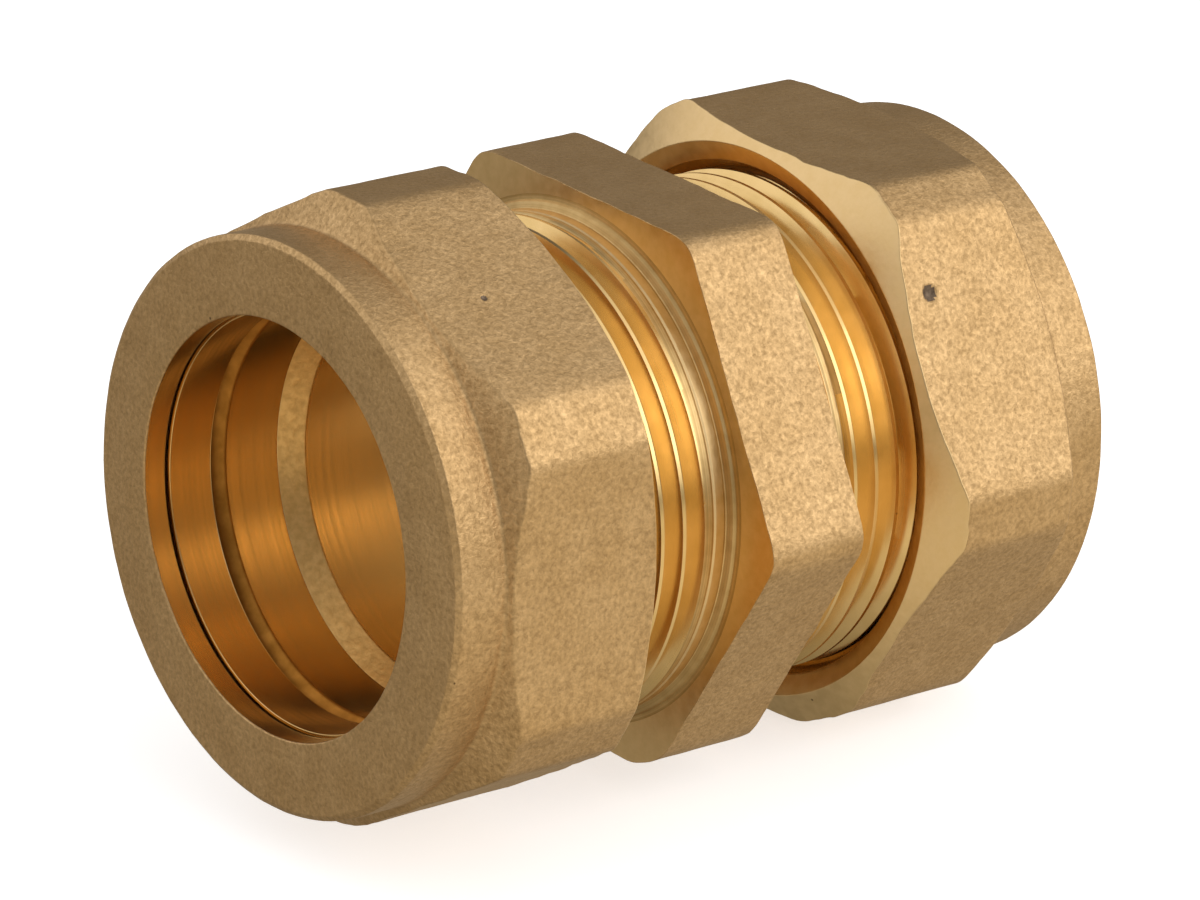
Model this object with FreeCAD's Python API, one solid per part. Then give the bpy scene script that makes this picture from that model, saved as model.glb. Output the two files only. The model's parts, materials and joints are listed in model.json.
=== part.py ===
"""Straight compression coupling for 35 mm copper tube: body, two nuts and two olives.

The axis of the fitting is X, +Z is up, and the origin is the middle of the body's waterway. The front end
is at -X. Every piece is turned or forged about X, so each is a profile in (x, r) revolved about X, joined to
or cut from a hexagon where it has one. Millimetres.
"""

import math
import os

import FreeCAD
import Part

# Tube, and the clearance (radial) of each bore that the tube goes through.
TUBE_D = 35.0
SOCKET_CLEARANCE = 0.10
OLIVE_CLEARANCE = 0.05
NOSE_CLEARANCE = 0.25

# Body: waterway, tube stops and sockets.
STOP_HEIGHT = 1.4            # how far the tube stop stands in from the socket's wall
STOP_DISTANCE = 44.1         # between the two rings that the tube ends stand on
STOP_RAKE = 1.95             # how far the stop's conical face goes in towards the waterway
SOCKET_DEPTH = 5.45          # plain length of each socket, from the stop to the mouth cone
MOUTH_DEPTH = 1.3            # length of the 45 degree mouth cone, to the end of the spigot

# Body: spigots, necks and central hexagon, each outside the last.
SPIGOT_WALL = 2.52           # between the socket and the bottom of the thread
THREAD_DEPTH = 1.48
SPIGOT_CHAMFER = 1.2         # lead-in at the spigot's end, along the axis
BODY_FACE = 1.05             # least width of the hexagon's side face, at the middle of a flat
BODY_CORNER_R = 3.2
BODY_HEX_WIDTH = 9.7
NECK_FLARE = 1.1             # how far the neck flares out where it meets the hexagon's face
NECK_FLARE_LENGTH = 0.55

# Nut: outside.
NUT_LENGTH = 20.46
COLLAR_WALL = 2.35           # round the thread relief
COLLAR_LENGTH = 5.0
COLLAR_BEVEL = 0.5           # round edge of the nose, as a bevel
FLAT_STEP = 0.6              # how far the hexagon's flats stand out from the collar
NUT_CORNER_R = 6.4
HEX_DOME_SLOPE = 29.0        # both domed ends of the hexagon, from the end face, between collar and corner

# Nut: inside.
LIP_LENGTH = 2.1             # plain bore of the nose
SEAT_LENGTH = 1.5            # 45 degree seat that the olive bears on
RELIEF_LENGTH = 3.2          # thread relief behind the seat
RELIEF_CLEARANCE = 0.4
THREAD_CLEARANCE = 0.05      # radial, nut thread over spigot thread
COUNTERSINK_WIDTH = 2.5      # out to the rim, where it meets the domed end
COUNTERSINK_DEPTH = 1.2

# Olive: a ring with a 45 degree taper at each end.
OLIVE_LENGTH = 4.3
OLIVE_RIM = 0.3              # wall at the ends of the bore
OLIVE_TAPER = 1.3
OLIVE_LEAD_IN = 0.25         # bevel at each end of the bore, along the axis
OLIVE_LEAD_RISE = 0.12

# How the pieces stand. Each nut is a stated distance out from hand-tight.
SEAT_GAP = 0.05              # at hand-tight, on each side of the olive
FRONT_NUT_BACKED_OFF = 1.38
REAR_NUT_BACKED_OFF = 0.0
FRONT_OLIVE_PLAY = 0.25      # front olive's further gap from its nut's seat
FRONT_NUT_TURN = 28.1        # corner of the hexagon from +Y towards +Z, degrees
REAR_NUT_TURN = 1.7

# Radii and stations worked out from the sizes above. Stations are distances from the middle of the body.
TUBE_R = TUBE_D / 2
SOCKET_R = TUBE_R + SOCKET_CLEARANCE
OLIVE_BORE_R = TUBE_R + OLIVE_CLEARANCE
NOSE_R = TUBE_R + NOSE_CLEARANCE
WATERWAY_R = SOCKET_R - STOP_HEIGHT
THREAD_R = SOCKET_R + SPIGOT_WALL + THREAD_DEPTH
FLARE_R = THREAD_R + NECK_FLARE
BODY_AF = 2 * (FLARE_R + BODY_FACE)
NUT_THREAD_R = THREAD_R + THREAD_CLEARANCE
RELIEF_R = NUT_THREAD_R + RELIEF_CLEARANCE
COUNTERSINK_R = NUT_THREAD_R + COUNTERSINK_WIDTH
COLLAR_R = RELIEF_R + COLLAR_WALL
NUT_AF = 2 * (COLLAR_R + FLAT_STEP)
NUT_CORNER_REACH = NUT_CORNER_R + (NUT_AF / 2 - NUT_CORNER_R) / math.cos(math.radians(30))
HEX_DOME_R = (COLLAR_R + NUT_CORNER_REACH) / 2 / math.sin(math.radians(HEX_DOME_SLOPE))
RIM_R = OLIVE_BORE_R + OLIVE_RIM
CROWN_R = RIM_R + OLIVE_TAPER
STOP_X = STOP_DISTANCE / 2
MOUTH_X = STOP_X + SOCKET_DEPTH
SPIGOT_END_X = MOUTH_X + MOUTH_DEPTH
# The olive's inner rim meets the mouth cone, and its outer rim meets the nut's seat.
OLIVE_INNER_X = MOUTH_X + (RIM_R - SOCKET_R) + SEAT_GAP
NUT_SEAT_X = OLIVE_INNER_X + OLIVE_LENGTH + SEAT_GAP
NOSE_FACE_X = NUT_SEAT_X + (RIM_R - NOSE_R) + LIP_LENGTH

X_AXIS = FreeCAD.Vector(1, 0, 0)
ORIGIN = FreeCAD.Vector(0, 0, 0)


def revolve(points):
    """Solid of revolution about X from a closed outline of (x, r) points."""
    corners = [FreeCAD.Vector(x, 0, r) for x, r in points]
    face = Part.Face(Part.makePolygon(corners + corners[:1]))
    return face.revolve(ORIGIN, X_AXIS, 360)


def hexagon(across_flats, corner_r, start, end, turn=0.0):
    """Hexagonal prism along X with rounded corners; turn is the angle of one corner from +Y towards +Z."""
    circumradius = across_flats / math.sqrt(3)
    corners = []
    for k in range(7):
        angle = math.radians(turn + 60 * k)
        y = circumradius * math.cos(angle)
        z = circumradius * math.sin(angle)
        corners.append(FreeCAD.Vector(start, y, z))
    prism = Part.Face(Part.makePolygon(corners)).extrude(FreeCAD.Vector(end - start, 0, 0))
    along = [e for e in prism.Edges if abs(e.tangentAt(e.FirstParameter).x) > 0.99]
    return prism.makeFillet(corner_r, along)


def make_body():
    """Forged and turned body, symmetric about its middle plane."""
    half_hex = BODY_HEX_WIDTH / 2
    tip_r = THREAD_R - THREAD_DEPTH
    chamfer_x = SPIGOT_END_X - SPIGOT_CHAMFER
    half = [
        (0, WATERWAY_R),
        (STOP_X - STOP_RAKE, WATERWAY_R),
        (STOP_X, SOCKET_R),
        (MOUTH_X, SOCKET_R),
        (SPIGOT_END_X, SOCKET_R + MOUTH_DEPTH),
        (SPIGOT_END_X, tip_r),
        (chamfer_x, THREAD_R),
        (half_hex + NECK_FLARE_LENGTH, THREAD_R),
        (half_hex, FLARE_R),
        (0, FLARE_R),
    ]
    turned = revolve(half).fuse(revolve([(-x, r) for x, r in half]))
    hexed = hexagon(BODY_AF, BODY_CORNER_R, -half_hex, half_hex)
    core = Part.makeCylinder(SOCKET_R, BODY_HEX_WIDTH, FreeCAD.Vector(-half_hex, 0, 0), X_AXIS)
    hexed = hexed.cut(core)
    return turned.fuse(hexed).removeSplitter()


def dome(rim_x, rim_r, side):
    """Ball about the X axis whose surface goes through a rim; it bulges towards side, 1 or -1 along X."""
    centre_x = rim_x - side * math.sqrt(HEX_DOME_R**2 - rim_r**2)
    return Part.makeSphere(HEX_DOME_R, FreeCAD.Vector(centre_x, 0, 0), X_AXIS)


def make_nut(turn):
    """Compression nut with its nose face at x = 0 and its thread towards -X."""
    # Past the rim, where the blank goes on, the countersink takes everything away.
    blank = hexagon(NUT_AF, NUT_CORNER_R, -NUT_LENGTH - COUNTERSINK_DEPTH / 2, 0, turn)
    blank = blank.common(dome(-COLLAR_LENGTH, COLLAR_R, 1))
    blank = blank.common(dome(-NUT_LENGTH, COUNTERSINK_R, -1))
    collar = revolve([
        (-NUT_LENGTH / 2, NOSE_R / 2),
        (-NUT_LENGTH / 2, COLLAR_R),
        (-COLLAR_BEVEL, COLLAR_R),
        (0, COLLAR_R - COLLAR_BEVEL),
        (0, NOSE_R / 2),
    ])
    seat_end = LIP_LENGTH + SEAT_LENGTH
    relief_end = seat_end + RELIEF_LENGTH
    bore = revolve([
        (1, 0),
        (1, NOSE_R),
        (-LIP_LENGTH, NOSE_R),
        (-seat_end, NOSE_R + SEAT_LENGTH),
        (-seat_end, RELIEF_R),
        (-relief_end, RELIEF_R),
        (-relief_end - RELIEF_CLEARANCE, NUT_THREAD_R),
        (COUNTERSINK_DEPTH - NUT_LENGTH, NUT_THREAD_R),
        (-COUNTERSINK_DEPTH - NUT_LENGTH, COUNTERSINK_R + COUNTERSINK_WIDTH),
        (-COUNTERSINK_DEPTH - NUT_LENGTH, 0),
    ])
    return blank.fuse(collar).cut(bore).removeSplitter()


def make_olive():
    """Olive with its outer end at x = 0, lying towards -X."""
    return revolve([
        (-OLIVE_LEAD_IN, OLIVE_BORE_R),
        (0, OLIVE_BORE_R + OLIVE_LEAD_RISE),
        (0, RIM_R),
        (-OLIVE_TAPER, CROWN_R),
        (OLIVE_TAPER - OLIVE_LENGTH, CROWN_R),
        (-OLIVE_LENGTH, RIM_R),
        (-OLIVE_LENGTH, OLIVE_BORE_R + OLIVE_LEAD_RISE),
        (OLIVE_LEAD_IN - OLIVE_LENGTH, OLIVE_BORE_R),
    ])


def at_rear(shape, x):
    """Shape moved out along +X."""
    moved = shape.copy()
    moved.translate(FreeCAD.Vector(x, 0, 0))
    return moved


def at_front(shape, x):
    """Shape turned end for end about Z and moved out along -X."""
    moved = shape.copy()
    moved.rotate(ORIGIN, FreeCAD.Vector(0, 0, 1), 180)
    moved.translate(FreeCAD.Vector(-x, 0, 0))
    return moved


def build():
    """All five pieces at rest, by name."""
    olive = make_olive()
    olive_x = OLIVE_INNER_X + OLIVE_LENGTH
    front_olive_x = olive_x + FRONT_NUT_BACKED_OFF - FRONT_OLIVE_PLAY
    # Turning end for end about Z takes a corner's angle to its supplement.
    front_nut = make_nut(180 - FRONT_NUT_TURN)
    rear_nut = make_nut(REAR_NUT_TURN)
    return {
        "coupling_body": make_body(),
        "front_nut": at_front(front_nut, NOSE_FACE_X + FRONT_NUT_BACKED_OFF),
        "front_olive": at_front(olive, front_olive_x),
        "rear_nut": at_rear(rear_nut, NOSE_FACE_X + REAR_NUT_BACKED_OFF),
        "rear_olive": at_rear(olive, olive_x + REAR_NUT_BACKED_OFF),
    }


def main():
    os.makedirs("parts", exist_ok=True)
    for name, solid in build().items():
        solid.exportStep(os.path.join("parts", name + ".step"))


main()
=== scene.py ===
"""Looks of the straight compression coupling: forged skin, turned faces and real right-hand threads.

Angles run round the X axis from +Y towards +Z. Lengths in the outlines are millimetres.
"""

import json
import math

import bmesh
import bpy
from mathutils import Matrix, Vector, noise


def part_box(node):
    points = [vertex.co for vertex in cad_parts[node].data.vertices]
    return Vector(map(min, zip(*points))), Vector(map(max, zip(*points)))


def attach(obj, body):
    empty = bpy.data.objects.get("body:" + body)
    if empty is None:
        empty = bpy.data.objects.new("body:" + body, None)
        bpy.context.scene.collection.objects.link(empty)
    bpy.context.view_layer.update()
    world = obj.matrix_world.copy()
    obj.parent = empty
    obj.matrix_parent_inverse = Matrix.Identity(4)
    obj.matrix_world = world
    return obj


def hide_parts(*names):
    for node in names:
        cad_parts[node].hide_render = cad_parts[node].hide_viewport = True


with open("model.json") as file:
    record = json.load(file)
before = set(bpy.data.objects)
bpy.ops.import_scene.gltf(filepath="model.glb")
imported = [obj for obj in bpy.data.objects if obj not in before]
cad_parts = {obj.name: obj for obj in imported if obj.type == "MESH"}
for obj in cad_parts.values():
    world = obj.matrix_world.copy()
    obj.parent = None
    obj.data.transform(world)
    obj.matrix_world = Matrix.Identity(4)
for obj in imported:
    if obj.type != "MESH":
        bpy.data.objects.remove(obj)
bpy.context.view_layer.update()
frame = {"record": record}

MM = 0.001
MOUNTS = {m["name"]: m for m in frame["record"]["mounts"]}


def box_mm(node):
    """Lowest and highest corners of a node at rest, in millimetres."""
    low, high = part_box(node)
    return Vector(low) / MM, Vector(high) / MM


def radius_of(mount):
    return MOUNTS[mount]["dims"]["r_mm"]


def length_of(mount):
    return MOUNTS[mount]["dims"]["length_mm"]


def place_of(mount):
    return Vector(MOUNTS[mount]["pos_m"]) / MM


# Sizes the frame gives.
SPIGOT_END = box_mm("coupling_body")[1].x
NUT_LENGTH = box_mm("rear_nut")[1].x - box_mm("rear_nut")[0].x
WATERWAY_R = radius_of("waterway")
WATERWAY_END = length_of("waterway") / 2
SOCKET_R = radius_of("tube_socket_rear")
STOP_X = place_of("tube_socket_rear").x - length_of("tube_socket_rear") / 2
MOUTH_X = STOP_X + length_of("tube_socket_rear")
OLIVE_BORE_R = radius_of("olive_bore_rear")
NOSE_R = radius_of("nose_bore_rear")
LIP = length_of("nose_bore_rear")
BODY_FLAT = place_of("body_flat_top").z
NUT_FLAT = place_of("rear_nut_flat").yz.length

# Sizes of the body that show only in the looks.
THREAD_R = 21.6
PITCH = 25.4 / 11
THREAD_DEPTH = 0.64 * PITCH
HEX_HALF_WIDTH = 4.85
EDGE = 0.04
NECK_END = 7.4
SPIGOT_CHAMFER = 1.2
# The spigot's end: how far its rim is turned back, and how far its two edges lie below the root.
RIM_BACK = 0.25
RIM_OUTER_DROP = 0.1
RIM_INNER_DROP = 0.35
# Where a crest of each spigot's thread crosses the -Y side.
FRONT_CREST_X = -9.91
REAR_CREST_X = 10.89

# Sizes of the nut and the olive that show only in the looks.
COLLAR_R = 24.4
COLLAR_LENGTH = 5.0
COLLAR_BEVEL = 0.5
# The nose's face is flat from the bore over this width, then falls by its crown on a wide rounding.
NOSE_FLAT = 2.4
NOSE_CROWN = 0.26
NOSE_CROWN_R = 12.0
CONE_SLOPE = math.tan(math.radians(29))
ROOT_R = 0.45
RIDGE_R = 0.3
THREAD_CLEARANCE = 0.05
RELIEF_R = 22.05
SEAT_LENGTH = 1.5
RELIEF_LENGTH = 3.2
COUNTERSINK_R = 24.15
COUNTERSINK_DEPTH = 1.2
MOUTH_R = 22.4
MOUTH_LENGTH = 2.2
RIM = 0.3
OLIVE_TAPER = 1.3

# Length in which each thread reaches its full depth: at the neck, behind the nut's seat, at its mouth.
NECK_RUN_OUT = 0.7
SEAT_RUN_OUT = 0.8
MOUTH_RUN_OUT = 0.5
# Share of the full depth below which a thread is as dull as the neck.
DULL_CUT = 0.7

# Rows of points along each piece's flats: first, last and spacing.
# The body's are measured from its middle and a nut's from its nose.
BODY_ROWS = (-3.6, 3.6, 0.9)
NUT_ROWS = (9.0, 16.8, 1.1)

# Corners of each piece's hexagon: distance from the axis to their narrow flats, and their sharpness.
CORNERS = {
    "coupling_body": (27.0, 120),
    "front_nut": (27.35, 170),
    "rear_nut": (27.65, 170),
}
# The corner of each piece that is trimmed further: its place among the six, then as above.
TRIMMED = {
    "coupling_body": (4, 26.3, 90),
    "front_nut": (4, 26.7, 34),
    "rear_nut": (3, 26.7, 90),
}

# One pitch of thread, from crest to crest: place along the pitch and height, 1 at the crest.
THREAD_FORM = (
    (0.0, 1.0),
    (0.075, 1.0),
    (0.24, 0.55),
    (0.40, 0.10),
    (0.45, 0.03),
    (0.50, 0.0),
    (0.55, 0.03),
    (0.60, 0.10),
    (0.76, 0.55),
    (0.925, 1.0),
)

# Unevenness of the forging: size and height of its waves, and the finer waves as a share of both.
WAVE = 3.2
WAVE_HEIGHT = 0.035
FINE_WAVE = 0.4
FINE_WAVE_HEIGHT = 0.6
# How far a machined edge wanders on it, and the sizes of its long and short waves.
EDGE_WANDER = 0.16
LONG_WANDER = 2.2
SHORT_WANDER = 0.9
SHORT_WANDER_HEIGHT = 0.5
# The body's edges wander less, by this share.
BODY_WANDER = 0.6

# Largest share of a stretch that the rounding at either end of it takes.
ROUNDING_SHARE = 0.42
# How far past a rounding its neighbouring stretches are held flat, and the largest share of them.
HOLD = 0.1
HOLD_SHARE = 0.06
# Points nearer than this are welded, and edges sharper than this many degrees stay sharp.
WELD = 0.0005
SHARP = 35

# Finishes, by their place among each piece's materials.
FORGED = 0
TURNED = 1
SATIN = 2
BORED = 3
DULL = 4
# Painted shade: the dark brown of the socket mouths beside the olive.
MOUTH_SHADE = 5
# Painted light: the tube stops' deeper colour, for the light that goes round the bore.
BOUNCE_TINTED = 6
OXIDE = 7

# Outline of a neck from the thread to the hexagon: X, height over the crests, rounding radius, finish.
NECK = (
    (NECK_END, 0.0, 0.0, DULL),
    (7.0, 0.0, 0.1, DULL),
    (6.78, -0.09, 0.1, SATIN),
    (6.58, 0.0, 0.1, SATIN),
    (5.74, 0.0, 0.1, DULL),
    (5.52, -0.09, 0.1, DULL),
    (5.22, 0.50, 0.08, DULL),
    (4.97, 0.64, 0.05, DULL),
    (HEX_HALF_WIDTH, 1.1, 0.0, SATIN),
)

# Columns round an olive, and between two corners of a hexagon.
OLIVE_COLUMNS = 160
COLUMNS = 44
# Their spacing at a hexagon's corner, as a share of the average.
CORNER_SHARE = 0.35
# Places of the extra rows and columns across a pit, in pit radii.
PIT_STEPS = (-1.15, -1.0, -0.8, -0.5, -0.17, 0.17, 0.5, 0.8, 1.0, 1.15)
# The pit that the forging left in each nut: X, angle, radius and depth.
PITS = {
    "rear_nut": (17.3, 138.6, 0.80, 0.40),
    "front_nut": (-24.6, 118.8, 0.34, 0.16),
}
# Share of a pit's radius within which its floor is oxidised.
PIT_FLOOR = 0.85

# Radiance of the surroundings. Each light fades out where the cosine to its middle is LIGHT_EDGE.
LIGHT_EDGE = 0.2
FRONT_LIGHT = (0.55, -0.68, 0.48)
FRONT_RADIANCE = 1.10
LEFT_LIGHT = (-0.70, 0.62, 0.35)
LEFT_RADIANCE = 0.84
ROOM_RADIANCE = 0.14
TABLE_NEAR = 0.83
TABLE_FAR = 0.34
TABLE_TINT = (1.0, 0.93, 0.78)
HORIZON_SHADE = 0.15
# Straight down the table lies in the part's own shadow.
UNDER_SHADE = 0.5
# The darker side of the room, the share of light left there, and the cosines between which it fades.
DARK_SIDE = (-0.65, -0.76, 0.0)
DARK_SIDE_SHADE = 0.88
DARK_SIDE_SPAN = (0.75, 0.95)
# Heights of a direction, from -1 straight down, between which the table's shadow and the horizon fade.
UNDER_SPAN = (-0.55, -0.95)
TABLE_EDGE_SPAN = (-0.01, 0.01)
HORIZON_SPAN = (0.02, 0.10)
# Its place along Y between the near and the far end of the table.
TABLE_SPAN = (-0.2, 0.5)

# Key lamp: direction, distance and size in metres, and watts.
KEY = ((0.60, -0.70, 0.46), 0.60, 0.30, 0.30)

# Camera: azimuth, elevation and roll in degrees, the point it looks at, its distance in metres, lens.
CAMERA_ANGLES = (-40.37, 20.98, 3.53)
CAMERA_AIM = (6.0, 8.5, -4.1)
CAMERA_DISTANCE = 0.6132
CAMERA_LENS = 213.9

# Floor: half its width in metres, its glow, and how far it lies below the front nut's lowest corner.
FLOOR_SIZE = 4.0
FLOOR_GLOW = 0.62
FLOOR_DROP = 0.05
# Where it carries each nut, from the front nut's mouth and from the rear nut's collar.
FRONT_REST = 2.2
REAR_REST = 0.4


def hexagon_radius(angle, flat, node, corner_angle):
    """Distance from the axis to a hexagon whose corners are cut by softened narrow flats.

    angle is in radians and corner_angle, that of its first corner, in degrees.
    """
    sector = math.radians(60)
    from_corner = (angle - math.radians(corner_angle)) / sector
    nearest = round(from_corner)
    swing = abs(from_corner - nearest) * sector
    corner, sharpness = CORNERS[node]
    if nearest % 6 == TRIMMED[node][0]:
        corner, sharpness = TRIMMED[node][1:]
    side = flat / math.cos(sector / 2 - swing)
    cut = corner / math.cos(swing)
    near, far = sorted((side, cut))
    return near * (1 + (near / far) ** sharpness) ** (-1 / sharpness)


def hexagon_columns(flat, node, corner_angle):
    """(angle, radius) of points round such a hexagon, closer together at its corners and at its pit."""
    angles = []
    for side in range(6):
        for i in range(COLUMNS):
            place = 2 * i / COLUMNS - 1
            swing = 30 * (CORNER_SHARE * place + (1 - CORNER_SHARE) * place**3)
            angles.append(math.radians(corner_angle + 60 * side + swing))
    if node in PITS:
        _, angle, radius, _ = PITS[node]
        first = angles[0]
        angle = first + (math.radians(angle) - first) % math.tau
        angles += [angle + step * radius / flat for step in PIT_STEPS]
    return [(a, hexagon_radius(a, flat, node, corner_angle)) for a in sorted(angles)]


def evenly(start, end, spacing):
    """Places from start to end, about spacing apart."""
    count = round((end - start) / spacing)
    return [start + (end - start) * i / count for i in range(count + 1)]


def rounded(corners, steps=4):
    """Outline with its corners rounded, and held flat close to each side of a rounding.

    corners are (x, r, rounding radius, finish of the stretch that follows), the result (x, r, finish).
    """
    points = []
    last = len(corners) - 1
    for i, (x, r, radius, finish) in enumerate(corners):
        if radius == 0 or i in (0, last):
            points.append((x, r, finish))
            continue
        here = Vector((x, r))
        back = Vector(corners[i - 1][:2]) - here
        ahead = Vector(corners[i + 1][:2]) - here
        half = back.angle(ahead) / 2
        most = ROUNDING_SHARE * min(back.length, ahead.length)
        reach = min(radius / math.tan(half), most)
        radius = reach * math.tan(half)
        bisector = (back.normalized() + ahead.normalized()).normalized()
        centre = here + bisector * (radius / math.sin(half))
        start = here + back.normalized() * reach - centre
        turn = start.angle_signed(here + ahead.normalized() * reach - centre)
        before = here + back.normalized() * (reach + min(HOLD, HOLD_SHARE * back.length))
        points.append((*before, corners[i - 1][3]))
        for k in range(steps + 1):
            spoke = start.copy()
            spoke.rotate(Matrix.Rotation(-turn * k / steps, 2))
            points.append((centre.x + spoke.x, centre.y + spoke.y, finish))
        after = here + ahead.normalized() * (reach + min(HOLD, HOLD_SHARE * ahead.length))
        points.append((*after, finish))
    return points


def wander(angle, offset):
    """How far the forged surface stands from true at an edge, in millimetres."""
    spot = Vector((offset, math.cos(angle) * COLLAR_R, math.sin(angle) * COLLAR_R))
    height = noise.noise(spot / LONG_WANDER) + SHORT_WANDER_HEIGHT * noise.noise(spot / SHORT_WANDER)
    return EDGE_WANDER * height


class Turned:
    """Builds one mesh from strips that run round the X axis, and welds them."""

    def __init__(self, columns):
        self.columns = columns
        self.mesh = bmesh.new()

    def strip(self, outline_of):
        """A band whose outline at each column is outline_of(angle, hexagon radius)."""
        grid = []
        for angle, radius in self.columns:
            outline = outline_of(angle, radius)
            grid.append([(self.vert(x, r, angle), finish) for x, r, finish in outline])
        self.skin(grid + grid[:1])

    def thread(self, start, end, crest_x, radius, shape):
        """A helical band from start to end, whose rows follow the thread.

        shape(x) gives how deep the thread is cut there, from 0 to 1, and the radius it stays below.
        """
        turns_low = math.floor((start - crest_x) / PITCH) - 1
        turns_high = math.ceil((end - crest_x) / PITCH)
        first = self.columns[0][0]
        angles = [angle for angle, _ in self.columns] + [first + math.tau]
        base = math.floor((first - math.pi) / math.tau)
        grid = []
        for angle in angles:
            lead = (angle - math.pi) / math.tau
            column = []
            for turn in range(turns_low - base - 1, turns_high - base + 1):
                for place, height in THREAD_FORM:
                    x = crest_x + PITCH * (turn + place + lead)
                    x = min(max(x, start), end)
                    cut, ceiling = shape(x)
                    r = min(radius - THREAD_DEPTH * (1 - height) * cut, ceiling)
                    column.append((self.vert(x, r, angle), TURNED if cut > DULL_CUT else DULL))
            grid.append(column)
        self.skin(grid)

    def vert(self, x, r, angle):
        return self.mesh.verts.new((x * MM, r * math.cos(angle) * MM, r * math.sin(angle) * MM))

    def skin(self, grid):
        """Faces between each column of points and the next."""
        for left, right in zip(grid, grid[1:]):
            for i in range(len(left) - 1):
                face = self.mesh.faces.new((left[i][0], left[i + 1][0], right[i + 1][0], right[i][0]))
                face.material_index = left[i][1]

    def roughen(self):
        """Gives the forged skin the slight unevenness of its die."""
        for vert in self.mesh.verts:
            if all(face.material_index == FORGED for face in vert.link_faces):
                spot = vert.co / (WAVE * MM)
                height = noise.noise(spot) + FINE_WAVE_HEIGHT * noise.noise(spot / FINE_WAVE)
                vert.co += vert.normal * height * WAVE_HEIGHT * MM

    def pit(self, x, angle, radius, depth):
        """Sinks a round pit with an oxidised floor into a flat."""
        angle = math.radians(angle)
        nearest = min(self.columns, key=lambda column: abs(math.remainder(column[0] - angle, math.tau)))
        centre = Vector((x, nearest[1] * math.cos(angle), nearest[1] * math.sin(angle))) * MM
        for vert in self.mesh.verts:
            reach = (vert.co - centre).length / (radius * MM)
            if reach < 1:
                vert.co -= vert.normal * depth * MM * (1 - reach**2)
        for face in self.mesh.faces:
            if (face.calc_center_median() - centre).length < PIT_FLOOR * radius * MM:
                face.material_index = OXIDE

    def finish(self, name, materials, body, slot):
        """Welds the strips into one piece that rides on a body and takes the place of its solid."""
        bmesh.ops.remove_doubles(self.mesh, verts=self.mesh.verts, dist=WELD * MM)
        bmesh.ops.recalc_face_normals(self.mesh, faces=self.mesh.faces)
        self.roughen()
        if body in PITS:
            self.pit(*PITS[body])
        data = bpy.data.meshes.new(name)
        self.mesh.to_mesh(data)
        self.mesh.free()
        data.polygons.foreach_set("use_smooth", [True] * len(data.polygons))
        data.set_sharp_from_angle(angle=math.radians(SHARP))
        piece = bpy.data.objects.new(name, data)
        bpy.context.scene.collection.objects.link(piece)
        for material in materials:
            data.materials.append(material)
        weighted = piece.modifiers.new("face_weighted_normals", "WEIGHTED_NORMAL")
        weighted.keep_sharp = True
        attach(piece, body)
        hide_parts(body)


def ease(value):
    """Smooth step from 0 to 1."""
    value = min(max(value, 0.0), 1.0)
    return value * value * (3 - 2 * value)


def make_body(materials):
    """The body: forged flats, and everything else turned."""
    body = Turned(hexagon_columns(BODY_FLAT, "coupling_body", 0))
    neck = rounded([(x, THREAD_R + height, radius, finish) for x, height, radius, finish in NECK])
    flat_rows = evenly(*BODY_ROWS)
    rim_x = SPIGOT_END - RIM_BACK
    rim_r = THREAD_R - THREAD_DEPTH - RIM_OUTER_DROP

    def outside(angle, corner):
        corner_low = corner + BODY_WANDER * wander(angle, -HEX_HALF_WIDTH)
        corner_high = corner + BODY_WANDER * wander(angle, HEX_HALF_WIDTH)
        return (
            [(-x, r, finish) for x, r, finish in neck]
            + [(-HEX_HALF_WIDTH, corner_low - EDGE, FORGED), (EDGE - HEX_HALF_WIDTH, corner_low, FORGED)]
            + [(x, corner, FORGED) for x in flat_rows]
            + [(HEX_HALF_WIDTH - EDGE, corner_high, FORGED), (HEX_HALF_WIDTH, corner_high - EDGE, SATIN)]
            + [(x, r, finish) for x, r, finish in reversed(neck)]
        )

    inner = [
        (rim_x, rim_r, 0, TURNED),
        (SPIGOT_END, THREAD_R - THREAD_DEPTH - RIM_INNER_DROP, 0, TURNED),
        # The socket's mouth cone carries painted shade.
        (SPIGOT_END, SOCKET_R + SPIGOT_END - MOUTH_X, 0, MOUTH_SHADE),
        (MOUTH_X, SOCKET_R, 0.4, BORED),
        # The tube stop's deeper colour is painted light from the bore.
        (STOP_X, SOCKET_R, 0.15, BOUNCE_TINTED),
        (WATERWAY_END, WATERWAY_R, 0.25, BORED),
    ]
    # Mirrored, a stretch starts at the corner where it ended, and its finish goes there.
    far_finishes = [finish for _, _, _, finish in reversed(inner[:-1])] + [TURNED]
    far = [(-x, r, radius) for x, r, radius, _ in reversed(inner)]
    far = [(*corner, finish) for corner, finish in zip(far, far_finishes)]
    inside_outline = rounded(inner + far)

    def male(x):
        x = abs(x)
        lead_in = rim_r + (THREAD_R - rim_r) * (rim_x - x) / SPIGOT_CHAMFER
        return ease((x - NECK_END) / NECK_RUN_OUT), lead_in

    body.strip(outside)
    body.strip(lambda angle, corner: inside_outline)
    body.thread(NECK_END, rim_x, REAR_CREST_X, THREAD_R, male)
    body.thread(-rim_x, -NECK_END, FRONT_CREST_X, THREAD_R, male)
    body.finish("turned_body", materials, "coupling_body", "forged_brass")


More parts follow.
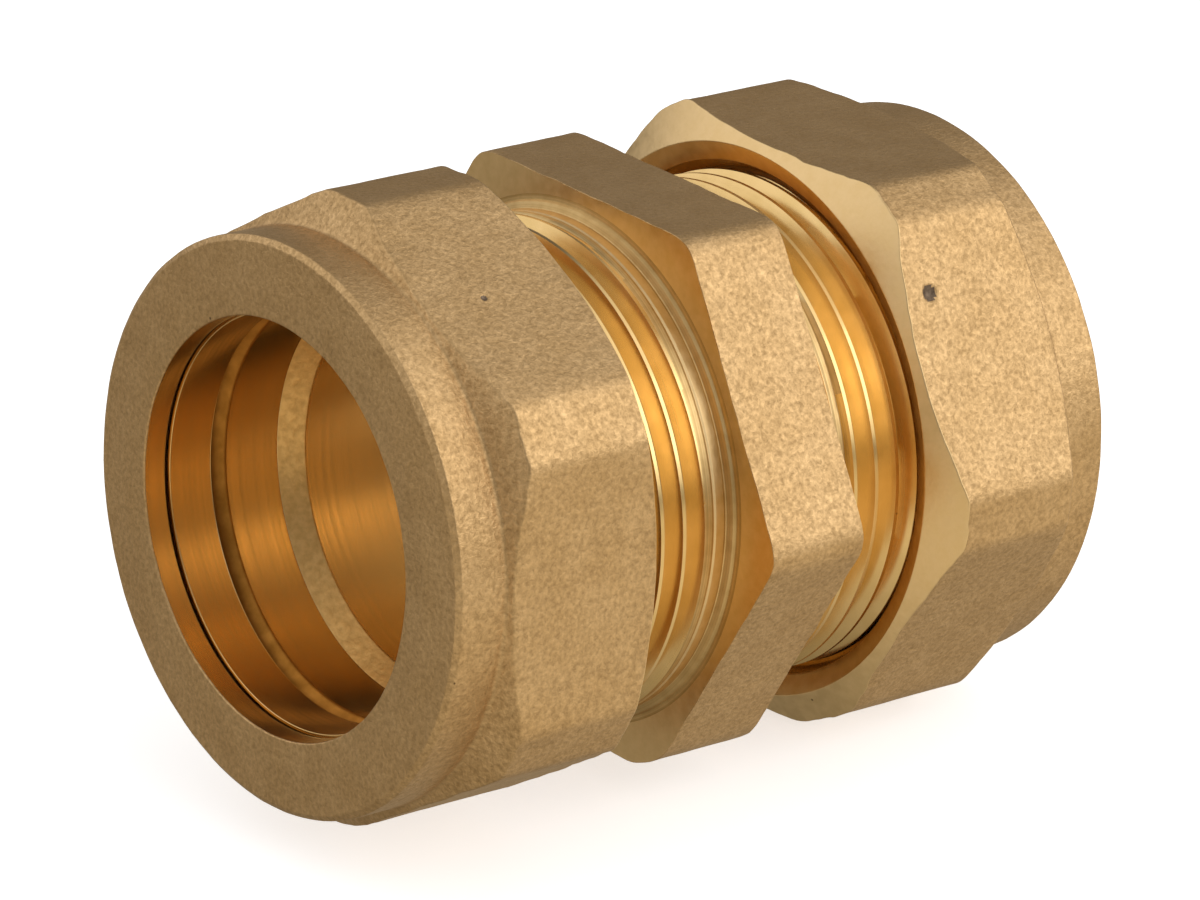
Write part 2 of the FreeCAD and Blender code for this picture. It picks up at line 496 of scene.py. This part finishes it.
def make_nut(name, node, outward, crest_x, materials):
    """A nut on the spigot that points outward (-1 or 1 along X)."""
    low, high = box_mm(node)
    nose = high.x if outward > 0 else low.x
    _, y, z = MOUNTS[node + "_flat"]["axis"]
    corner_angle = math.degrees(math.atan2(z, y)) - 30
    nut = Turned(hexagon_columns(NUT_FLAT, node, corner_angle))
    seat_end = LIP + SEAT_LENGTH
    thread_start = seat_end + RELIEF_LENGTH + RELIEF_R - THREAD_R - THREAD_CLEARANCE
    thread_end = NUT_LENGTH - MOUTH_LENGTH
    thread_r = THREAD_R + THREAD_CLEARANCE
    pit_x, _, pit_radius, _ = PITS[node]
    pit_rows = [outward * (nose - pit_x) + step * pit_radius for step in PIT_STEPS]
    flat_rows = sorted(evenly(*NUT_ROWS) + pit_rows)

    def outline(angle, corner):
        outer = corner + wander(angle, nose)
        inner = corner + wander(angle, -nose)
        nose_side = rounded([
            (thread_start, thread_r, 0, TURNED),
            (seat_end + RELIEF_LENGTH, RELIEF_R, 0, TURNED),
            (seat_end, RELIEF_R, 0, TURNED),
            (seat_end, NOSE_R + SEAT_LENGTH, 0, TURNED),
            (LIP, NOSE_R, 0.05, BORED),
            (0, NOSE_R, 0.15, FORGED),
            (0, NOSE_R + NOSE_FLAT, NOSE_CROWN_R, FORGED),
            (NOSE_CROWN, COLLAR_R - COLLAR_BEVEL, 0.3, FORGED),
            (COLLAR_BEVEL + 0.1, COLLAR_R, 0.2, FORGED),
            (COLLAR_LENGTH, COLLAR_R, ROOT_R, FORGED),
            (COLLAR_LENGTH + (outer - COLLAR_R) * CONE_SLOPE, outer, RIDGE_R, FORGED),
            (flat_rows[0], corner, 0, FORGED),
        ])
        inner_side = rounded([
            (flat_rows[-1], corner, 0, FORGED),
            (NUT_LENGTH - (inner - COUNTERSINK_R) * CONE_SLOPE, inner, 0.12, SATIN),
            (NUT_LENGTH, COUNTERSINK_R, 0.06, SATIN),
            (NUT_LENGTH - 0.7 * COUNTERSINK_DEPTH, MOUTH_R, 0.1, TURNED),
            (thread_end + MOUTH_R - thread_r, MOUTH_R, 0, TURNED),
            (thread_end, thread_r, 0, TURNED),
        ], steps=2)
        flat = [(depth, corner, FORGED) for depth in flat_rows[1:-1]]
        whole = nose_side + flat + inner_side
        return [(nose - outward * depth, r, finish) for depth, r, finish in whole]

    def female(x):
        depth = outward * (nose - x)
        from_seat = ease((depth - thread_start) / SEAT_RUN_OUT)
        return from_seat * ease((thread_end - depth) / MOUTH_RUN_OUT), math.inf

    ends = sorted((nose - outward * thread_start, nose - outward * thread_end))
    nut.strip(outline)
    nut.thread(ends[0], ends[1], crest_x, thread_r, female)
    nut.finish(name, materials, node, "forged_brass")


def make_olive(name, node, materials):
    """A soft ring with a taper at each end."""
    low, high = box_mm(node)
    olive = Turned([(math.tau * i / OLIVE_COLUMNS, 0) for i in range(OLIVE_COLUMNS)])
    rim_r = OLIVE_BORE_R + RIM
    crown_r = rim_r + OLIVE_TAPER
    outline = rounded([
        (low.x, (OLIVE_BORE_R + rim_r) / 2, 0, TURNED),
        (low.x, rim_r, 0.12, TURNED),
        (low.x + OLIVE_TAPER, crown_r, 0.5, TURNED),
        (high.x - OLIVE_TAPER, crown_r, 0.5, TURNED),
        (high.x, rim_r, 0.12, TURNED),
        (high.x, OLIVE_BORE_R, 0.22, BORED),
        (low.x, OLIVE_BORE_R, 0.22, TURNED),
        (low.x, (OLIVE_BORE_R + rim_r) / 2, 0, TURNED),
    ])
    olive.strip(lambda angle, corner: outline)
    olive.finish(name, materials, node, "machined_brass")


class Graph:
    """Short calls for the nodes of one tree."""

    def __init__(self, tree):
        self.tree = tree

    def node(self, kind, **settings):
        node = self.tree.nodes.new(kind)
        for key, value in settings.items():
            setattr(node, key, value)
        return node

    def feed(self, socket, value):
        """Links an output to a socket, or sets the socket to a number or colour."""
        if isinstance(value, bpy.types.NodeSocket):
            self.tree.links.new(value, socket)
        elif isinstance(value, tuple) and len(socket.default_value) == 4:
            socket.default_value = (*value, 1)
        else:
            socket.default_value = value

    def math(self, operation, first, second=0.0):
        node = self.node("ShaderNodeMath", operation=operation)
        self.feed(node.inputs[0], first)
        self.feed(node.inputs[1], second)
        return node.outputs[0]

    def spread(self, value, start, end, low=0.0, high=1.0, smooth=False):
        """Takes start to low and end to high, and holds beyond them."""
        node = self.node("ShaderNodeMapRange")
        if smooth:
            node.interpolation_type = "SMOOTHSTEP"
        for i, part in enumerate((value, start, end, low, high)):
            self.feed(node.inputs[i], part)
        return node.outputs[0]

    def mix(self, factor, first, second, blend="MIX"):
        node = self.node("ShaderNodeMix", data_type="RGBA", blend_type=blend)
        self.feed(node.inputs[0], factor)
        self.feed(node.inputs[6], first)
        self.feed(node.inputs[7], second)
        return node.outputs[2]


class Shader(Graph):
    """A Principled metal."""

    def __init__(self, name):
        self.material = bpy.data.materials.new(name)
        self.material.use_nodes = True
        super().__init__(self.material.node_tree)
        self.surface = self.tree.nodes["Principled BSDF"]
        self.surface.inputs["Metallic"].default_value = 1.0
        self.where = self.node("ShaderNodeTexCoord").outputs["Object"]

    def noise(self, size, detail=3.0, roughness=0.55, distortion=0.0, where=None):
        """Noise whose grain is size millimetres across."""
        node = self.node("ShaderNodeTexNoise")
        node.inputs["Scale"].default_value = 1 / (size * MM)
        node.inputs["Detail"].default_value = detail
        node.inputs["Roughness"].default_value = roughness
        node.inputs["Distortion"].default_value = distortion
        self.feed(node.inputs["Vector"], where or self.where)
        return node.outputs["Fac"]

    def ramp(self, source, stops):
        node = self.node("ShaderNodeValToRGB")
        while len(node.color_ramp.elements) < len(stops):
            node.color_ramp.elements.new(0.5)
        for element, (place, color) in zip(node.color_ramp.elements, stops):
            element.position = place
            element.color = (*color, 1)
        self.feed(node.inputs["Fac"], source)
        return node.outputs["Color"]

    def specks(self, spacing, radius, share):
        """1 in small round specks, one in each of a share of the cells of a lattice, and 0 elsewhere."""
        node = self.node("ShaderNodeTexVoronoi")
        node.inputs["Scale"].default_value = 1 / (spacing * MM)
        self.feed(node.inputs["Vector"], self.where)
        chosen = self.math("LESS_THAN", node.outputs["Color"], share)
        dot = self.spread(node.outputs["Distance"], 0.6 * radius / spacing, radius / spacing, 1.0, 0.0)
        return self.math("MULTIPLY", chosen, dot)

    def bump(self, height, strength, depth, below=None):
        node = self.node("ShaderNodeBump")
        node.inputs["Strength"].default_value = strength
        node.inputs["Distance"].default_value = depth * MM
        self.feed(node.inputs["Height"], height)
        if below:
            self.feed(node.inputs["Normal"], below)
        return node.outputs["Normal"]

    def turned_lines(self):
        """Coordinates that depend only on the place along X and the distance from it."""
        split = self.node("ShaderNodeSeparateXYZ")
        self.feed(split.inputs[0], self.where)
        squares = [self.math("POWER", split.outputs[axis], 2.0) for axis in ("Y", "Z")]
        both = self.node("ShaderNodeCombineXYZ")
        self.feed(both.inputs["X"], split.outputs["X"])
        self.feed(both.inputs["Y"], self.math("SQRT", self.math("ADD", *squares)))
        return both.outputs[0]

    def spread_along_axis(self, amount):
        """Makes the lathe's fine grooves spread reflections along X."""
        tangent = self.node("ShaderNodeTangent", direction_type="RADIAL", axis="X")
        self.feed(self.surface.inputs["Tangent"], tangent.outputs[0])
        self.surface.inputs["Anisotropic"].default_value = amount
        self.surface.inputs["Anisotropic Rotation"].default_value = 0.25


def forged_brass():
    """Hot-forged and blasted skin: satin, with a fine grain, faint clouds and a few darker specks."""
    shader = Shader("forged_brass_skin")
    grain = shader.noise(0.44, detail=3.0, roughness=0.66, distortion=0.25)
    tone = shader.ramp(grain, [(0.31, (0.51, 0.328, 0.148)), (0.69, (0.785, 0.520, 0.252))])
    patches = shader.noise(4.0, detail=2.0)
    stain = shader.ramp(patches, [(0.35, (0.92, 0.90, 0.86)), (0.65, (1.0, 1.0, 1.0))])
    skin = shader.mix(1.0, tone, stain, "MULTIPLY")
    specks = shader.specks(3.0, 0.16, 0.25)
    shader.feed(shader.surface.inputs["Base Color"], shader.mix(specks, skin, (0.16, 0.09, 0.04)))
    shader.feed(shader.surface.inputs["Roughness"], shader.spread(grain, 0.3, 0.7, 0.56, 0.42))
    rough = shader.bump(shader.noise(1.2, detail=2.0), 0.4, 0.10)
    shader.feed(shader.surface.inputs["Normal"], shader.bump(grain, 0.7, 0.12, rough))
    return shader.material


def turned_brass():
    """Machined brass: bright and golden, with faint lathe lines."""
    shader = Shader("turned_brass")
    lines = shader.noise(0.7, detail=1.0, where=shader.turned_lines())
    clouds = shader.noise(2.5, detail=2.0)
    tone = shader.ramp(clouds, [(0.35, (0.82, 0.555, 0.225)), (0.65, (0.89, 0.61, 0.265))])
    specks = shader.specks(2.4, 0.12, 0.2)
    shader.feed(shader.surface.inputs["Base Color"], shader.mix(specks, tone, (0.30, 0.16, 0.06)))
    shader.feed(shader.surface.inputs["Roughness"], shader.spread(lines, 0.3, 0.7, 0.20, 0.28))
    shader.feed(shader.surface.inputs["Normal"], shader.bump(lines, 0.12, 0.02))
    return shader.material


def satin_brass():
    """Chamfers and side faces: smooth, without a shine."""
    shader = Shader("satin_brass")
    lines = shader.noise(0.5, detail=1.0, where=shader.turned_lines())
    clouds = shader.noise(1.2, detail=3.0)
    tone = shader.ramp(clouds, [(0.35, (0.80, 0.55, 0.255)), (0.65, (0.88, 0.62, 0.305))])
    specks = shader.specks(2.0, 0.14, 0.12)
    shader.feed(shader.surface.inputs["Base Color"], shader.mix(specks, tone, (0.25, 0.14, 0.06)))
    shader.feed(shader.surface.inputs["Roughness"], shader.spread(clouds, 0.3, 0.7, 0.30, 0.40))
    fine = shader.bump(shader.noise(0.5, detail=2.0), 0.3, 0.04)
    shader.feed(shader.surface.inputs["Normal"], shader.bump(lines, 0.15, 0.02, fine))
    return shader.material


def bored_brass():
    """Walls of the bores: yellower than the threads, with close lathe lines."""
    shader = Shader("bored_brass")
    lines = shader.noise(0.45, detail=2.0, where=shader.turned_lines())
    tone = shader.ramp(lines, [(0.38, (0.81, 0.59, 0.29)), (0.62, (0.93, 0.685, 0.365))])
    shader.feed(shader.surface.inputs["Base Color"], tone)
    shader.feed(shader.surface.inputs["Roughness"], shader.spread(lines, 0.3, 0.7, 0.27, 0.20))
    shader.spread_along_axis(0.4)
    shader.feed(shader.surface.inputs["Normal"], shader.bump(lines, 0.12, 0.02))
    return shader.material


def rubbed_brass():
    """Tube stops: rough from the tool, with a painted deeper colour that stands in for the light that
    goes round the bore.
    """
    shader = Shader("rubbed_brass")
    grain = shader.noise(0.6, detail=3.0)
    tone = shader.ramp(grain, [(0.35, (0.83, 0.515, 0.185)), (0.65, (0.98, 0.62, 0.235))])
    shader.feed(shader.surface.inputs["Base Color"], tone)
    shader.feed(shader.surface.inputs["Roughness"], shader.spread(grain, 0.3, 0.7, 0.50, 0.40))
    shader.feed(shader.surface.inputs["Normal"], shader.bump(grain, 0.5, 0.08))
    return shader.material


def dull_brass():
    """Necks: tarnished a little, with lathe lines all round that spread the light along the axis."""
    shader = Shader("dull_brass")
    lines = shader.noise(0.40, detail=2.0, roughness=0.6, where=shader.turned_lines())
    tone = shader.ramp(lines, [(0.38, (0.60, 0.40, 0.16)), (0.58, (0.82, 0.57, 0.26))])
    clouds = shader.noise(1.4, detail=3.0)
    stain = shader.ramp(clouds, [(0.35, (0.88, 0.85, 0.80)), (0.6, (1.0, 1.0, 1.0))])
    shader.feed(shader.surface.inputs["Base Color"], shader.mix(1.0, tone, stain, "MULTIPLY"))
    shader.feed(shader.surface.inputs["Roughness"], shader.spread(lines, 0.3, 0.7, 0.44, 0.34))
    shader.spread_along_axis(0.6)
    shader.feed(shader.surface.inputs["Normal"], shader.bump(lines, 0.3, 0.03))
    return shader.material


def stained_brass():
    """Socket mouths beside the olive: painted shade, a darker brown for the shade there, and matter."""
    shader = Shader("stained_brass")
    shade_mottle = shader.noise(1.4, detail=3.0)
    tone = shader.ramp(shade_mottle, [(0.35, (0.45, 0.19, 0.03)), (0.65, (0.57, 0.25, 0.045))])
    shader.feed(shader.surface.inputs["Base Color"], tone)
    shader.feed(shader.surface.inputs["Roughness"], shader.spread(shade_mottle, 0.3, 0.7, 0.56, 0.48))
    return shader.material


def oxide():
    """Dull brown floor of a forging pit."""
    shader = Shader("pit_oxide")
    tone = shader.ramp(shader.noise(0.3), [(0.3, (0.17, 0.12, 0.085)), (0.7, (0.30, 0.22, 0.15))])
    shader.feed(shader.surface.inputs["Base Color"], tone)
    shader.surface.inputs["Roughness"].default_value = 0.6
    return shader.material


def area_light(name, direction, distance, size, power):
    """A soft lamp in the given direction from the object, facing it."""
    data = bpy.data.lights.new(name, "AREA")
    data.shape = "SQUARE"
    data.size = size
    data.energy = power
    lamp = bpy.data.objects.new(name, data)
    bpy.context.scene.collection.objects.link(lamp)
    away = Vector(direction).normalized()
    lamp.location = away * distance
    lamp.rotation_euler = away.to_track_quat("Z", "Y").to_euler()


def make_floor():
    """Pale floor under the front nut's lowest corner and the edge of the rear nut's lowest flat."""
    front_low, front_high = box_mm("front_nut")
    front_x = front_high.x - FRONT_REST
    rear_x = box_mm("rear_nut")[1].x - COLLAR_LENGTH - REAR_REST
    tilt = math.atan2(-NUT_FLAT - front_low.z, rear_x - front_x)
    data = bpy.data.meshes.new("floor")
    signs = ((-1, -1), (1, -1), (1, 1), (-1, 1))
    corners = [(x * FLOOR_SIZE, y * FLOOR_SIZE, 0) for x, y in signs]
    data.from_pydata(corners, [], [(0, 1, 2, 3)])
    floor = bpy.data.objects.new("floor", data)
    bpy.context.scene.collection.objects.link(floor)
    floor.location = (front_x * MM, 0, (front_low.z - FLOOR_DROP) * MM)
    floor.rotation_euler = (0, -tilt, 0)
    material = bpy.data.materials.new("pale_floor")
    material.use_nodes = True
    surface = material.node_tree.nodes["Principled BSDF"]
    surface.inputs["Base Color"].default_value = (0.9, 0.9, 0.9, 1)
    surface.inputs["Roughness"].default_value = 0.9
    surface.inputs["Emission Color"].default_value = (1, 1, 1, 1)
    surface.inputs["Emission Strength"].default_value = FLOOR_GLOW
    data.materials.append(material)
    floor.visible_glossy = False


def make_camera():
    """Camera that looks at the front end from the left and above, rolled a little."""
    azimuth, elevation, roll = (math.radians(angle) for angle in CAMERA_ANGLES)
    back = Vector((
        math.sin(azimuth) * math.cos(elevation),
        -math.cos(azimuth) * math.cos(elevation),
        math.sin(elevation),
    ))
    right = Vector((math.cos(azimuth), math.sin(azimuth), 0))
    right = Matrix.Rotation(roll, 3, back) @ right
    up = back.cross(right)
    data = bpy.data.cameras.new("camera")
    data.sensor_width = 36
    data.lens = CAMERA_LENS
    data.clip_start = 0.01
    camera = bpy.data.objects.new("camera", data)
    bpy.context.scene.collection.objects.link(camera)
    pose = Matrix((right, up, back)).transposed().to_4x4()
    pose.translation = Vector(CAMERA_AIM) * MM + back * CAMERA_DISTANCE
    camera.matrix_world = pose
    bpy.context.scene.camera = camera


def make_light():
    """A room with soft light from the front and the left, a white table, and a dark line between."""
    world = bpy.data.worlds.new("studio")
    bpy.context.scene.world = world
    world.use_nodes = True
    graph = Graph(world.node_tree)
    background = world.node_tree.nodes["Background"]
    towards = graph.node("ShaderNodeTexCoord").outputs["Generated"]
    split = graph.node("ShaderNodeSeparateXYZ")
    graph.feed(split.inputs[0], towards)

    def facing(direction):
        dot = graph.node("ShaderNodeVectorMath", operation="DOT_PRODUCT")
        graph.feed(dot.inputs[0], towards)
        dot.inputs[1].default_value = Vector(direction).normalized()
        return dot.outputs["Value"]

    def lobe(direction, radiance):
        return graph.spread(facing(direction), LIGHT_EDGE, 1.0, 0.0, radiance, smooth=True)

    lights = graph.math("ADD", lobe(FRONT_LIGHT, FRONT_RADIANCE), lobe(LEFT_LIGHT, LEFT_RADIANCE))
    room = graph.math("ADD", lights, ROOM_RADIANCE)
    table = graph.spread(split.outputs["Y"], *TABLE_SPAN, TABLE_NEAR, TABLE_FAR)
    under = graph.spread(split.outputs["Z"], *UNDER_SPAN)
    table = graph.math("MULTIPLY", table, graph.spread(under, 0.0, 1.0, 1.0, UNDER_SHADE))
    above = graph.spread(split.outputs["Z"], *TABLE_EDGE_SPAN)
    blend = graph.node("ShaderNodeMix")
    for i, part in ((0, above), (2, table), (3, room)):
        graph.feed(blend.inputs[i], part)
    off_horizon = graph.math("ABSOLUTE", split.outputs["Z"])
    shade = graph.spread(off_horizon, *HORIZON_SPAN, HORIZON_SHADE, 1.0, smooth=True)
    lit = graph.math("MULTIPLY", blend.outputs[0], shade)
    dark_side = graph.spread(facing(DARK_SIDE), *DARK_SIDE_SPAN, 1.0, DARK_SIDE_SHADE, smooth=True)
    seen = graph.math("MULTIPLY", lit, dark_side)
    from_camera = graph.node("ShaderNodeLightPath").outputs["Is Camera Ray"]
    graph.feed(background.inputs["Strength"], graph.math("MAXIMUM", seen, from_camera))
    graph.feed(background.inputs["Color"], graph.mix(above, TABLE_TINT, (1.0, 1.0, 1.0)))
    area_light("key", *KEY)
    bpy.context.scene.view_settings.view_transform = "Standard"


finishes = [
    forged_brass(),
    turned_brass(),
    satin_brass(),
    bored_brass(),
    dull_brass(),
    stained_brass(),
    rubbed_brass(),
    oxide(),
]
make_body(finishes)
make_nut("collared_nut_front", "front_nut", -1, FRONT_CREST_X, finishes)
make_nut("collared_nut_rear", "rear_nut", 1, REAR_CREST_X, finishes)
make_olive("olive_ring_front", "front_olive", finishes)
make_olive("olive_ring_rear", "rear_olive", finishes)
make_floor()
make_light()
make_camera()
